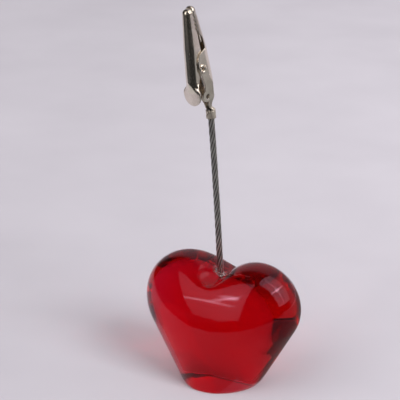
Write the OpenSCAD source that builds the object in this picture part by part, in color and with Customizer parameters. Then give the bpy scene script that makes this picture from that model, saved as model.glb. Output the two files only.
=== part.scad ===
// Memo holder: a solid clear heart on a flat foot, a wire rope stalk and a sprung clip on its top.
// Millimetres. +Z is up, the front of the heart faces -Y, and the origin is the centre of the foot.

/* [Heart base] */
// Width across both lobes
heart_w = 50.5; // [44:0.5:60]
// Height from the foot to the top of the lobes
heart_h = 39.3; // [34:0.1:46]
// Thickness from front to back
heart_t = 31; // [24:0.5:38]
// How far the two lobes overlap in the middle, which sets the depth of the cleft
lobe_overlap = 4; // [2:0.1:8]
// Depth below the foot of the circle that the two flanks run down to
tip_drop = 5.8; // [3:0.1:8]
// Radius of that circle
tip_r = 8; // [6:0.1:10]
// Height of the fullest point of the front and the back
belly_z = 16.4; // [12:0.1:20]
// Fullness of the belly: 2 is an ellipse, more is squarer
belly_fullness = 2.13; // [2:0.01:2.6]
// How sharply the lobes meet in the cleft
cleft_sharpness = 10; // [6:1:24]
// Share of the way from the belly to the rim at which the cleft starts to cut into the front
cleft_front = 0.65; // [0.4:0.05:0.75]
// The same share at the back
cleft_rear = 0.5; // [0.4:0.05:0.75]
// Swell of the front and the back between the lobes, below the cleft
brow_swell = 1.5; // [0:0.1:3]
// Rounding between the walls and the flat foot
foot_round = 1.9; // [0.8:0.1:3]

/* [Wire rope] */
// Outer diameter of the rope
rope_d = 2; // [1.5:0.1:2.6]
// Bare length between the cleft and the clip
rope_free = 49.6; // [30:0.2:80]
// Length glued into the heart
rope_socket = 5; // [4:0.5:15]
// Length of one turn of a strand round the core
lay_length = 14.6; // [10:0.2:24]
// Lean of the rope to the left where it leaves the heart, in degrees
lean_low = 3.1; // [0:0.1:6]
// Lean of the rope to the left where it enters the clip, in degrees
lean_high = 4.7; // [0:0.1:8]
// Place of the rope along the width of the heart
rope_x = -0.9; // [-2:0.1:2]
// Thickness of the adhesive round the rope
glue_t = 0.3; // [0.15:0.05:0.5]
// Height of the adhesive's collar above the cleft
glue_rise = 0.8; // [0.4:0.1:1.5]

/* [Clip] */
// Turn of the clip about the rope, in degrees
clip_turn = -16; // [-90:1:90]
// Angle between the rope and the closed jaws, in degrees
clip_cant = 7; // [0:0.5:12]
// Thickness of the clip's sheet metal
sheet = 0.45; // [0.35:0.05:0.6]
// Width across the ears
clip_w = 5.2; // [4.8:0.1:6.4]
// Width of both jaws at the nose
nose_w = 3; // [2.6:0.1:3.6]
// Reach of the thumb jaw from the pivot to its nose
jaw_reach = 18.1; // [16:0.1:24]
// How far the crimp jaw stands past the thumb jaw
nose_overhang = 0.5; // [0:0.1:1]
// Height above the pivot at which both jaws start to taper
taper_z = 6; // [5.8:0.1:7]
// Depth of the thumb jaw at the nose
thumb_nose_depth = 2.4; // [1.8:0.05:3]
// Depth of the thumb jaw at the pivot
thumb_depth = 4.7; // [4.2:0.05:5.4]
// Depth of the crimp jaw at the nose
crimp_nose_depth = 1.9; // [1.7:0.05:2.6]
// Depth of the crimp jaw at the pivot
crimp_depth = 3.95; // [3.7:0.05:4.6]

/* [Clip edges] */
// Length of one tooth
tooth_pitch = 1.35; // [1:0.05:1.8]
// Height of a tooth
tooth_h = 0.45; // [0.3:0.05:0.7]
// Number of teeth on each jaw
tooth_count = 5; // [3:1:6]
// Depth of the relief behind the teeth of the crimp jaw
relief_depth = 1.4; // [0.6:0.1:1.8]
// Height of the ears above the line where the jaws meet
ear_rise = 2.35; // [2:0.05:2.8]
// Radius of the ears' front edge
ear_r = 4.4; // [3.8:0.1:5]
// Metal left round the pivot hole of the thumb jaw
lobe_wall = 0.5; // [0.4:0.05:0.7]

/* [Clip tails] */
// Length of the crimp jaw's channel below the pivot
tail_reach = 9.4; // [9:0.1:10]
// How far each side of the crimp jaw draws in towards the end of its tail
tail_inset = 0.65; // [0.3:0.05:0.8]
// Depth of the crimp jaw at the end of its tail
tail_depth = 3.7; // [3.4:0.05:4.2]
// Height of the tail's walls above the line where the jaws meet
tail_lip = 1; // [0.6:0.1:1.4]
// Radius of the round wing at the end of each tail wall
wing_r = 1.65; // [1.45:0.05:1.8]
// Distance of the wings' centre below the pivot
wing_drop = 8.7; // [8.4:0.1:9]
// Distance of the wings' centre in front of the line where the jaws meet
wing_front = 0.5; // [0.2:0.05:0.6]
// Diameter of the eye through both wings
eye_d = 1.5; // [1:0.1:1.7]
// Distance of the eye below the pivot
eye_drop = 8.8; // [8.5:0.05:9]
// Radius of the waist between the tail and the barrel
waist_r = 1.1; // [0.9:0.05:1.3]
// Distance of the waist below the pivot
waist_drop = 12.7; // [11.5:0.1:13]
// Distance of the waist's centre behind the line where the jaws meet
waist_back = 1.25; // [1:0.05:1.6]
// Length of the crimped barrel
barrel_len = 2.5; // [2:0.1:4]
// Distance of the barrel's middle below the pivot
barrel_drop = 15.25; // [14.5:0.05:18]
// Distance of the barrel's middle behind the line where the jaws meet
barrel_back = 1.8; // [1.4:0.1:2.4]
// Width of the slanting seam in the barrel
seam_w = 0.22; // [0.1:0.02:0.4]
// Width of the thumb paddle
paddle_w = 6.6; // [5.6:0.1:8]
// Distance of the paddle's end below the pivot
paddle_reach = 10.5; // [10:0.1:12]
// Distance below the pivot at which the channel starts to open into the paddle
paddle_start = 3.4; // [3:0.1:4]
// Distance below the pivot at which the paddle is flat
paddle_flat = 6.6; // [6:0.1:7]
// Depth of the paddle's outer face from the line where the jaws meet
paddle_depth = 4.5; // [4.4:0.05:5.6]

/* [Pivot and spring] */
// Height of the pivot above the line where the jaws meet, on the thumb jaw's side
pivot_rise = 0.85; // [0.6:0.05:1]
// Diameter of the rivet's shank
pivot_d = 1.6; // [1.3:0.05:1.8]
// Diameter of the rivet's heads
head_d = 2.8; // [2.3:0.05:3]
// Thickness of the rivet's heads
head_t = 0.3; // [0.2:0.05:0.5]
// Diameter of the hole down the rivet's flared end
flare_d = 0.9; // [0.5:0.05:1]
// Diameter of the spring's wire
wire_d = 0.45; // [0.3:0.05:0.5]
// Whole turns of the spring's coil, besides the part turn between its legs
coil_turns = 2; // [1:1:2]
// Distance below the pivot at which the spring's leg meets the crimp jaw
leg_drop = 7.2; // [5:0.1:7.6]

/* [Fits] */
// Gap between each ear and the thumb jaw
side_play = 0.06; // [0.03:0.01:0.1]
// Radial gap between the rivet and the thumb jaw
pivot_play = 0.05; // [0.02:0.01:0.09]
// Radial gap between the rivet and the ears
rivet_play = 0.02; // [0.01:0.01:0.05]
// Radial gap round the rope in its barrel and in the adhesive
rope_play = 0.03; // [0.01:0.01:0.06]
// Radial gap between the adhesive and its bore
glue_play = 0.01; // [0.005:0.005:0.03]
// Gap between the closed rows of teeth
tooth_gap = 0.12; // [0.08:0.01:0.2]
// Gap between the spring and what it bears on
spring_gap = 0.06; // [0.03:0.01:0.1]
// Gap between neighbouring strands of the rope
strand_gap = 0.03; // [0.02:0.01:0.06]

/* [Hidden] */
$fn = 48;
eps = 0.01;
slab = 0.05;
far = 60;
hull_sides = 32;

acrylic = [0.72, 0.02, 0.05];
glue = [0.86, 0.80, 0.72];
steel = [0.60, 0.60, 0.61];
nickel = [0.80, 0.79, 0.76];
spring_steel = [0.52, 0.52, 0.54];

// Heart: fineness of its surface, and the sliver cut off to make the foot one plane
heart_spokes = 80;
heart_rows = 28;
flank_steps = 30;
foot_cut = 0.35;
lobe_r = (heart_w + lobe_overlap) / 4;
lobe_x = (heart_w - lobe_overlap) / 4;
lobe_z = heart_h - lobe_r;

function lerp(a, b, t) = a + (b - a) * t;
function unit(v) = v / norm(v);

// Distance from the belly's centre, along a ray, to the far side of a circle
function circle_exit(ray, centre, r) =
    let (along = ray * centre, room = r * r - centre * centre + along * along)
    room > 0 ? along + sqrt(room) : eps;

// Reach of one flank, the band between a lobe and the circle below the foot
function flank_reach(ray, side) = max([
    for (i = [0:flank_steps])
        let (t = i / flank_steps)
        circle_exit(ray, [lerp(side * lobe_x, 0, t), lerp(lobe_z, -tip_drop, t) - belly_z],
            lerp(lobe_r, tip_r, t))
]);

// Outline of the heart seen from the front, as a reach from the belly's centre
function heart_reach(angle) =
    let (
        ray = [cos(angle), sin(angle)],
        right = flank_reach(ray, 1),
        left = flank_reach(ray, -1),
        longer = max(right, left)
    )
    sin(angle) < 0 ? longer
        : longer * pow(pow(right / longer, cleft_sharpness) + pow(left / longer, cleft_sharpness),
            1 / cleft_sharpness);

// Fuller outline without the cleft, which the front and the back swell to
function brow_reach(angle) =
    let (ray = [cos(angle), sin(angle)])
    max([flank_reach(ray, 1), flank_reach(ray, -1),
        for (i = [0:flank_steps])
            let (t = lerp(-1, 1, i / flank_steps))
            circle_exit(ray, [t * lobe_x, lobe_z + brow_swell * (1 - t * t) - belly_z], lobe_r)
    ]);

// Height above the foot after the lower end is flattened
function flattened(z) =
    z > foot_round ? z : z < -foot_round ? 0 : pow(z + foot_round, 2) / (4 * foot_round);

function eased(t) = let (c = min(max(t, 0), 1)) c * c * (3 - 2 * c);
function heart_point(angle, rim, brow, row) =
    let (
        tilt = lerp(-90, 90, row / heart_rows),
        share = pow(abs(cos(tilt)), 2 / belly_fullness),
        depth = sign(tilt) * pow(abs(sin(tilt)), 2 / belly_fullness),
        start = tilt < 0 ? cleft_front : cleft_rear,
        reach = lerp(brow, rim, eased((share - start) / (1 - start)))
    )
    [reach * share * cos(angle), depth * heart_t / 2,
        flattened(foot_cut + belly_z + reach * share * sin(angle)) - foot_cut];

heart_angles = [for (i = [0:heart_spokes - 1]) 360 * i / heart_spokes];
heart_rims = [for (a = heart_angles) heart_reach(a)];
heart_brows = [for (a = heart_angles) brow_reach(a)];
heart_points = concat(
    [[0, -heart_t / 2, belly_z], [0, heart_t / 2, belly_z]],
    [for (row = [1:heart_rows - 1])
        for (i = [0:heart_spokes - 1])
            heart_point(heart_angles[i], heart_rims[i], heart_brows[i], row)]
);
function heart_index(row, i) = 2 + (row - 1) * heart_spokes + i % heart_spokes;
heart_faces = concat(
    [for (i = [0:heart_spokes - 1]) [0, heart_index(1, i), heart_index(1, i + 1)]],
    [for (i = [0:heart_spokes - 1])
        [1, heart_index(heart_rows - 1, i + 1), heart_index(heart_rows - 1, i)]],
    [for (row = [1:heart_rows - 2])
        for (i = [0:heart_spokes - 1])
            [heart_index(row, i), heart_index(row + 1, i), heart_index(row + 1, i + 1)]],
    [for (row = [1:heart_rows - 2])
        for (i = [0:heart_spokes - 1])
            [heart_index(row, i), heart_index(row + 1, i + 1), heart_index(row, i + 1)]]
);
cleft_z = belly_z + heart_reach(90);

// Rope: a straight end in the heart, a slight bow, and a straight end in the barrel
strand_count = 6;
strand_sides = 6;
strand_rings = 12;
core_sides = 8;
core_rings = 30;
rope_stub = 0.4;
rope_start = -rope_socket;
rope_end = rope_free + barrel_len + rope_stub;
rope_bend = (lean_high - lean_low) / rope_free;
deg = PI / 180;
lay_angle = atan(PI * rope_d * 2 / 3 / lay_length);
strand_share = sin(180 / strand_count);
strand_d = (rope_d * strand_share - strand_gap) / (1 / cos(lay_angle) + strand_share);
strand_r = (rope_d - strand_d) / 2;
core_d = 2 * strand_r - strand_d - 2 * strand_gap;

function rope_lean(s) = lerp(lean_low, lean_high, min(max(s / rope_free, 0), 1));
function rope_along(s) = [-sin(rope_lean(s)), 0, cos(rope_lean(s))];
function rope_side(s) = [cos(rope_lean(s)), 0, sin(rope_lean(s))];
function rope_bow(s) = rope_bend == 0
    ? s * rope_along(0)
    : [cos(lean_low + rope_bend * s) - cos(lean_low), 0,
        sin(lean_low + rope_bend * s) - sin(lean_low)] / (rope_bend * deg);
function rope_point(s) =
    [rope_x, 0, cleft_z] + (s < 0 ? s * rope_along(0)
        : s > rope_free ? rope_bow(rope_free) + (s - rope_free) * rope_along(rope_free)
        : rope_bow(s));
function strand_point(s, phase) =
    let (turn = 360 * s / lay_length + phase)
    rope_point(s) + strand_r * (cos(turn) * rope_side(s) + sin(turn) * [0, 1, 0]);

// A round tube swept along points; ref is a direction that the path never runs along
function path_along(path, i) = unit(path[min(i + 1, len(path) - 1)] - path[max(i - 1, 0)]);
function tube_points(path, d, sides, ref) = [
    for (i = [0:len(path) - 1])
        let (
            along = path_along(path, i),
            across = unit(cross(ref, along)),
            other = cross(along, across)
        )
        for (k = [0:sides - 1])
            path[i] + d / 2 * (cos(360 * k / sides) * across + sin(360 * k / sides) * other)
];
function tube_faces(count, sides) = concat(
    [for (k = [1:sides - 2]) [0, k, k + 1]],
    [for (k = [1:sides - 2]) (count - 1) * sides * [1, 1, 1] + [0, k + 1, k]],
    [for (i = [0:count - 2])
        for (k = [0:sides - 1])
            [i * sides + k, (i + 1) * sides + k, (i + 1) * sides + (k + 1) % sides]],
    [for (i = [0:count - 2])
        for (k = [0:sides - 1])
            [i * sides + k, (i + 1) * sides + (k + 1) % sides, i * sides + (k + 1) % sides]]
);
module tube(path, d, sides, ref) {
    polyhedron(tube_points(path, d, sides, ref), tube_faces(len(path), sides), convexity = 10);
}

// Clip: X is the pivot, the thumb jaw is on the -Y side and the noses point to +Z
ear_half = clip_w / 2;
thumb_half = ear_half - sheet - side_play;
nose_half = nose_w / 2;
tail_half = ear_half - tail_inset;
crimp_reach = jaw_reach + nose_overhang;
tail_taper = 4.5;
teeth_z = jaw_reach - tooth_count * tooth_pitch;
relief_ramp = 0.6;
ear_z = 1.2;
ear_y = ear_r - ear_rise;
ear_back = -100;
ear_front = asin((relief_depth - ear_y) / ear_r);
ear_points = 14;
lobe_from = 205;
lobe_to = 50;
lobe_points = 14;
barrel_in = rope_d / 2 + rope_play;
barrel_out = barrel_in + sheet;
lap = 0.4;
seam_lean = 40;
star_w = 0.22;
crown = 0.08;
thumb_start_depth = thumb_depth + (thumb_depth - thumb_nose_depth) * paddle_start / jaw_reach;
thumb_taper_depth = thumb_depth - (thumb_depth - thumb_nose_depth) * taper_z / jaw_reach + crown;
crimp_taper_depth = crimp_depth - (crimp_depth - crimp_nose_depth) * taper_z / crimp_reach + crown;
thumb_sections = [[taper_z, thumb_half, thumb_taper_depth], [-paddle_start, thumb_half, thumb_start_depth]];
crimp_sections = [[taper_z, ear_half, crimp_taper_depth], [-tail_taper, ear_half, crimp_depth],
    [-tail_reach, tail_half, tail_depth]];

// Row of teeth as an edge in [y, z], from its lower end to the nose
function tooth_edge(shift, last_z) = concat(
    [for (i = [0:2 * tooth_count])
        [tooth_h / 2 * (i % 2 == 0 ? 1 : -1) + shift, teeth_z + i * tooth_pitch / 2]],
    [[tooth_h / 2 + shift, last_z]]
);
crimp_outline = concat(
    [[far, -tail_reach], [-wing_front, -tail_reach], [-tail_lip, -wing_drop], [-tail_lip, -tail_taper]],
    [for (i = [0:ear_points])
        let (a = lerp(ear_back, ear_front, i / ear_points))
        [ear_y + ear_r * sin(a), ear_z + ear_r * cos(a)]],
    [[relief_depth, teeth_z - relief_ramp - relief_depth], [tooth_h / 2, teeth_z - relief_ramp]],
    tooth_edge(0, crimp_reach + 1),
    [[far, crimp_reach + 1]]
);
lobe_edge = pivot_d / 2 + pivot_play + lobe_wall;
function lobe_point(a) = [lobe_edge * sin(a) - pivot_rise, lobe_edge * cos(a)];
lobe_end = lobe_point(lobe_from);

// Lower edge of the thumb jaw's wall where its channel starts to open into the paddle
flare_end = [sheet - paddle_depth, -paddle_flat];
flare_slope = (flare_end[0] - lobe_end[0]) / (flare_end[1] - lobe_end[1]);
function flare_edge(z) = [lobe_end[0] + flare_slope * (z - lobe_end[1]), z];
thumb_outline = concat(
    [[-far, -paddle_start], flare_edge(-paddle_start)],
    [for (i = [0:lobe_points])
        lobe_point(lerp(lobe_from, lobe_to, i / lobe_points))],
    tooth_edge(-tooth_gap, jaw_reach + 1),
    [[-far, jaw_reach + 1]]
);
flare_outline = [
    flare_end,
    flare_edge(lap - paddle_start),
    [-far, lap - paddle_start],
    [-far, -paddle_flat]
];
neck_outline = [
    [barrel_back, -barrel_drop],
    [waist_back - sheet, -waist_drop],
    [waist_back - 2 * sheet, -tail_reach],
    [waist_back - 2 * sheet, lap - tail_reach],
    [far, lap - tail_reach],
    [far, -barrel_drop]
];

// Section of a channel with a round back towards +Y and open towards -Y
module channel_section(half, depth) {
    translate([0, depth - half]) circle(half, $fn = hull_sides);
    translate([-half, -ear_r]) square([2 * half, ear_r + depth - half]);
}

// Channel with a closed round nose; inset shrinks it to the space inside the sheet
module channel(reach, nose_depth, sections, inset) {
    nose = nose_half - inset;
    hull() {
        translate([0, nose_depth - nose_half, reach - nose_half]) {
            sphere(nose, $fn = hull_sides);
            rotate([90, 0, 0]) cylinder(h = ear_r, r = nose, $fn = hull_sides);
        }
        for (s = sections)
            translate([0, 0, s[0]]) linear_extrude(slab) channel_section(s[1] - inset, s[2] - inset);
    }
}

// A side view given in [y, z], drawn right through the clip
module through_sides() {
    rotate([90, 0, 90]) linear_extrude(far, center = true) children();
}

// Turns +Z along the pivot
module at_pivot() {
    translate([0, -pivot_rise, 0]) rotate([0, 90, 0]) children();
}

// Puts the barrel on the end of the rope and the pivot where the barrel leaves it
module at_clip() {
    translate(rope_point(rope_free + barrel_len / 2))
        rotate([0, -lean_high, 0])
            rotate([0, 0, clip_turn])
                rotate([clip_cant, 0, 0])
                    translate([0, -barrel_back, barrel_drop])
                        children();
}

module at_barrel() {
    translate([0, barrel_back, -barrel_drop]) rotate([-clip_cant, 0, 0]) children();
}

module at_socket() {
    translate(rope_point(0)) rotate([0, -lean_low, 0]) children();
}

// Spring: a coil round the rivet with one leg down each tail
coil_rings = 8;
coil_sides = 6;
coil_clear = 2 * spring_gap;
coil_r = pivot_d / 2 + coil_clear + wire_d / 2 / cos(180 / coil_rings) + pivot_d * (1 - cos(180 / coil_rings));
coil_x = thumb_half - sheet - wire_d / 2 - coil_clear;
leg_share = (leg_drop - tail_taper) / (tail_reach - tail_taper);
crimp_leg_half = leg_drop < tail_taper ? ear_half : lerp(ear_half, tail_half, leg_share);
crimp_leg_depth = leg_drop < tail_taper ? crimp_depth : lerp(crimp_depth, tail_depth, leg_share);

// Place across the channel at which a wire at coil_x bears on its round back
function leg_seat(half, depth) =
    depth - half + sqrt(pow(half - sheet - wire_d / 2 - spring_gap, 2) - coil_x * coil_x);
crimp_seat = [pivot_rise + leg_seat(crimp_leg_half, crimp_leg_depth), -leg_drop];
thumb_seat = [pivot_rise - leg_seat(thumb_half, thumb_start_depth), -paddle_start];
crimp_turn = atan2(crimp_seat[1], crimp_seat[0]) + acos(coil_r / norm(crimp_seat));
thumb_turn = 360 + atan2(thumb_seat[1], thumb_seat[0]) - acos(coil_r / norm(thumb_seat));
coil_sweep = 360 * coil_turns + thumb_turn - crimp_turn;
coil_steps = ceil(coil_sweep / 360 * coil_rings);
spring_path = concat(
    [[-coil_x, crimp_seat[0], crimp_seat[1]]],
    [for (i = [0:coil_steps])
        let (a = crimp_turn + coil_sweep * i / coil_steps)
        [lerp(-coil_x, coil_x, i / coil_steps), coil_r * cos(a), coil_r * sin(a)]],
    [[coil_x, thumb_seat[0], thumb_seat[1]]]
);
spring_self_gap = min([
    for (i = [0:len(spring_path) - 1])
        for (j = [i + coil_rings / 2:1:len(spring_path) - 1])
            norm(spring_path[i] - spring_path[j])
]) - wire_d;
echo(str("clip_spring: least gap to itself ", spring_self_gap, " mm"));

module heart_base() {
    color(acrylic) difference() {
        polyhedron(heart_points, heart_faces, convexity = 6);
        translate([-far, -far, -far]) cube([2 * far, 2 * far, far]);
        at_socket() translate([0, 0, -rope_socket]) cylinder(h = far, d = rope_d + 2 * glue_t);
    }
}

module adhesive_sleeve() {
    inner = rope_d / 2 + rope_play;
    outer = rope_d / 2 + glue_t - glue_play;
    color(glue) at_socket() rotate_extrude() polygon([
        [inner, -rope_socket + glue_play],
        [outer, -rope_socket + glue_play],
        [outer, glue_rise / 4],
        [lerp(inner, outer, 0.4), glue_rise],
        [inner, glue_rise]
    ]);
}

module rope_core_strand() {
    path = [for (i = [0:core_rings]) rope_point(lerp(rope_start + strand_gap, rope_end, i / core_rings))];
    color(steel) tube(path, core_d, core_sides, [0, 1, 0]);
}

module rope_strand(number) {
    first = rope_start + strand_gap;
    steps = ceil((rope_end - first) / lay_length * strand_rings);
    phase = 360 * (number - 1) / strand_count;
    path = [for (i = [0:steps]) strand_point(lerp(first, rope_end, i / steps), phase)];
    color(steel) tube(path, strand_d, strand_sides, [0, 1, 0]);
}

module waist(inset) {
    translate([0, waist_back, -waist_drop]) cylinder(h = slab, r = waist_r - inset, $fn = hull_sides);
}

// Neck drawn in to a waist between the tail and the barrel; inset shrinks it to the space inside
module crimp_neck(inset) {
    hull() {
        translate([0, 0, lap - tail_reach])
            linear_extrude(slab) channel_section(tail_half - inset, tail_depth - inset);
        waist(inset);
    }
    hull() {
        waist(inset);
        at_barrel() translate([0, 0, barrel_len / 2 - lap])
            cylinder(h = lap, r = barrel_out - inset, $fn = hull_sides);
    }
}

module crimp_jaw() {
    color(nickel) at_clip() difference() {
        union() {
            intersection() {
                difference() {
                    channel(crimp_reach, crimp_nose_depth, crimp_sections, 0);
                    channel(crimp_reach, crimp_nose_depth, crimp_sections, sheet);
                }
                through_sides() {
                    polygon(crimp_outline);
                    translate([-wing_front, -wing_drop]) circle(wing_r);
                }
            }
            intersection() {
                difference() {
                    crimp_neck(0);
                    crimp_neck(sheet);
                }
                through_sides() polygon(neck_outline);
            }
            at_barrel() cylinder(h = barrel_len, r = barrel_out, center = true);
        }
        at_pivot() cylinder(h = far, d = pivot_d + 2 * rivet_play, center = true);
        translate([0, 0, -eye_drop]) rotate([0, 90, 0]) cylinder(h = far, d = eye_d, center = true);
        at_barrel() translate([0, 0, -barrel_len]) cylinder(h = 2 * barrel_len, r = barrel_in);
        at_barrel() translate([0, -barrel_out, 0]) rotate([0, seam_lean, 0])
            cube([seam_w, 2 * sheet + barrel_in, far], center = true);
    }
}

// Space between the channel and the flat paddle; inset shrinks it to the space inside the sheet
module paddle_flare(inset) {
    hull() {
        translate([0, 0, lap - paddle_start])
            linear_extrude(slab) channel_section(thumb_half - inset, thumb_start_depth - inset);
        translate([-paddle_w / 2 + inset, paddle_depth - sheet - (inset > eps ? sheet / 2 : 0), -paddle_flat])
            cube([paddle_w - 2 * inset, inset > eps ? sheet / 2 : sheet, slab]);
    }
}

module thumb_jaw() {
    color(nickel) at_clip() difference() {
        union() {
            intersection() {
                rotate([0, 0, 180]) difference() {
                    channel(jaw_reach, thumb_nose_depth, thumb_sections, 0);
                    channel(jaw_reach, thumb_nose_depth, thumb_sections, sheet);
                }
                through_sides() polygon(thumb_outline);
            }
            intersection() {
                rotate([0, 0, 180]) difference() {
                    paddle_flare(eps);
                    paddle_flare(sheet - eps);
                }
                through_sides() polygon(flare_outline);
            }
            translate([0, sheet - paddle_depth, 0])
                rotate([90, 0, 0]) linear_extrude(sheet) paddle_section();
        }
        at_pivot() cylinder(h = far, d = pivot_d + 2 * pivot_play, center = true);
    }
}

module paddle_section() {
    end_r = paddle_w / 2;
    translate([0, end_r - paddle_reach]) circle(end_r);
    translate([-end_r, end_r - paddle_reach]) square([paddle_w, paddle_reach - end_r - paddle_flat + lap]);
}

module pivot_rivet() {
    grip = clip_w + 2 * rivet_play;
    color(nickel) at_clip() at_pivot() difference() {
        union() {
            cylinder(h = grip + head_t, d = pivot_d, center = true);
            translate([0, 0, grip / 2]) cylinder(h = head_t, d = head_d);
            translate([0, 0, -grip / 2 - head_t]) cylinder(h = head_t, d = head_d);
        }
        translate([0, 0, ear_half - sheet]) cylinder(h = far, d = flare_d);
        for (a = [45, 135])
            rotate([0, 0, a]) translate([-head_d, -star_w / 2, grip / 2 + head_t / 3]) cube([2 * head_d, star_w, far]);
    }
}

module clip_spring() {
    color(spring_steel) at_clip() translate([0, -pivot_rise, 0]) tube(spring_path, wire_d, coil_sides, [1, 0, 0]);
}

heart_base();
adhesive_sleeve();
rope_core_strand();
rope_strand(1);  // rope_strand_1
rope_strand(2);  // rope_strand_2
rope_strand(3);  // rope_strand_3
rope_strand(4);  // rope_strand_4
rope_strand(5);  // rope_strand_5
rope_strand(6);  // rope_strand_6
crimp_jaw();
thumb_jaw();
pivot_rivet();
clip_spring();
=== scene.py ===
import math

import bmesh
import bpy
import numpy as np
from mathutils import Matrix, Vector
from mathutils.bvhtree import BVHTree


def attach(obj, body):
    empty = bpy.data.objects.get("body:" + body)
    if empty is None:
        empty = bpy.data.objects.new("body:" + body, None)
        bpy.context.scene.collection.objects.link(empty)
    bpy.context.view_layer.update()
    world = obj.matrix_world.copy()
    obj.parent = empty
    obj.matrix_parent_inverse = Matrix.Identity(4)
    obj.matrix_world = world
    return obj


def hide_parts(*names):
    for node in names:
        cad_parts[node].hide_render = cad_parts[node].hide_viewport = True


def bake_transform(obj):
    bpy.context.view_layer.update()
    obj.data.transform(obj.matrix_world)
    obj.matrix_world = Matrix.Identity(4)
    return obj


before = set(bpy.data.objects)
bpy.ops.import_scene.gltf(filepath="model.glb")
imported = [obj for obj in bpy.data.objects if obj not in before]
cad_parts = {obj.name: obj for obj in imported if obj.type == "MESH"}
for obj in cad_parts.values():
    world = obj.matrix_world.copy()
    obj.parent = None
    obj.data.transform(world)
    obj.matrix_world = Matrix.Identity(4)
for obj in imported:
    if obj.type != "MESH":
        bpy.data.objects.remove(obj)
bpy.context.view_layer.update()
MM = 0.001


# Mesh helpers

def lerp(a, b, t):
    return a + (b - a) * t


def unit(v):
    return v / np.linalg.norm(v)


def eased(t):
    """A share from 0 to 1 that starts and ends softly."""
    return t * t * (3 - 2 * t)


def held(share):
    """A share kept between 0 and 1."""
    return min(max(share, 0), 1)


def new_object(name, points, faces):
    mesh = bpy.data.meshes.new(name)
    mesh.from_pydata([tuple(p) for p in points], [], [tuple(f) for f in faces])
    mesh.validate()
    mesh.update()
    mesh.polygons.foreach_set("use_smooth", [True] * len(mesh.polygons))
    made = bpy.data.objects.new(name, mesh)
    bpy.context.scene.collection.objects.link(made)
    return made


def rectangle(name, low, high, rise):
    """A flat piece between two corners, at a height."""
    places = [(low[0], low[1]), (high[0], low[1]), (high[0], high[1]), (low[0], high[1])]
    return new_object(name, [(x, y, rise) for x, y in places], [(0, 1, 2, 3)])


def directions(path):
    along = np.gradient(path, axis=0)
    return along / np.linalg.norm(along, axis=1)[:, None]


def ring_faces(rings, sides):
    """Faces of a skin over rings of points, with a cap on each end."""
    faces = []
    for i in range(rings - 1):
        for k in range(sides):
            n = (k + 1) % sides
            faces.append((i * sides + k, i * sides + n, (i + 1) * sides + n, (i + 1) * sides + k))
    faces.append(tuple(reversed(range(sides))))
    faces.append(tuple((rings - 1) * sides + k for k in range(sides)))
    return faces


# A direction that no tube starts along
OFF_AXIS = (0.31, 0.87, 0.39)


def tube(path, radius, sides):
    """Points and faces of a closed round tube along a path, in metres."""
    path = np.asarray(path, float)
    along = directions(path)
    side = unit(np.cross(along[0], OFF_AXIS))
    points = []
    for spot, way in zip(path, along):
        side = unit(side - way * (side @ way))
        other = np.cross(way, side)
        for k in range(sides):
            a = 2 * math.pi * k / sides
            points.append(spot + radius * (math.cos(a) * side + math.sin(a) * other))
    return points, ring_faces(len(path), sides)


def merged(parts):
    """Joins several lists of points and faces into one."""
    points = []
    faces = []
    for part_points, part_faces in parts:
        start = len(points)
        points.extend(part_points)
        faces.extend(tuple(start + i for i in f) for f in part_faces)
    return points, faces


# Materials

def material(name):
    made = bpy.data.materials.new(name)
    made.use_nodes = True
    tree = made.node_tree
    tree.nodes.clear()
    out = tree.nodes.new("ShaderNodeOutputMaterial")
    shader = tree.nodes.new("ShaderNodeBsdfPrincipled")
    tree.links.new(shader.outputs["BSDF"], out.inputs["Surface"])
    return made, tree, shader, out


def node(tree, kind, **values):
    made = tree.nodes.new("ShaderNode" + kind)
    for key, value in values.items():
        if key in made.inputs:
            made.inputs[key].default_value = value
        else:
            setattr(made, key, value)
    return made


def object_coords(tree, stretch):
    """Object coordinates in millimetres, stretched per axis."""
    coords = node(tree, "TexCoord")
    mapping = node(tree, "Mapping")
    mapping.inputs["Scale"].default_value = [s / MM for s in stretch]
    tree.links.new(coords.outputs["Object"], mapping.inputs["Vector"])
    return mapping.outputs["Vector"]


def noise(tree, vector, scale, detail):
    made = node(tree, "TexNoise", Scale=scale, Detail=detail)
    tree.links.new(vector, made.inputs["Vector"])
    return made.outputs["Fac"]


def ramp(tree, factor, stops):
    made = node(tree, "ValToRGB")
    bands = made.color_ramp.elements
    while len(bands) < len(stops):
        bands.new(0.5)
    for band, (place, colour) in zip(bands, stops):
        band.position = place
        band.color = (*colour, 1.0)
    tree.links.new(factor, made.inputs["Fac"])
    return made.outputs["Color"]


def feed(tree, target, value):
    """Links an output to an input, or sets the input to a plain value."""
    if isinstance(value, bpy.types.NodeSocket):
        tree.links.new(value, target)
    else:
        target.default_value = value


def ranged(tree, factor, low, high, start=0.0, end=1.0):
    """Takes a factor from start to end over to low to high, and holds it between them."""
    made = node(tree, "MapRange")
    made.inputs["From Min"].default_value = start
    made.inputs["From Max"].default_value = end
    feed(tree, made.inputs["To Min"], low)
    feed(tree, made.inputs["To Max"], high)
    tree.links.new(factor, made.inputs["Value"])
    return made.outputs["Result"]


def maths(tree, operation, first, second):
    made = node(tree, "Math", operation=operation)
    feed(tree, made.inputs[0], first)
    feed(tree, made.inputs[1], second)
    return made.outputs[0]


def place_along(tree, vector, axis):
    made = node(tree, "SeparateXYZ")
    tree.links.new(vector, made.inputs[0])
    return made.outputs[axis]


def bump(tree, shader, height, distance):
    made = node(tree, "Bump", Strength=1.0, Distance=distance)
    tree.links.new(height, made.inputs["Height"])
    tree.links.new(made.outputs["Normal"], shader.inputs["Normal"])


EVEN = (1, 1, 1)
LINE_SHARE = 0.06
LINE_DETAIL = 4.0
TARNISH_SCALE = 0.35
TARNISH_DETAIL = 3.0
TARNISH_DARK = 0.3
TARNISH_LIGHT = 0.62


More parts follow.
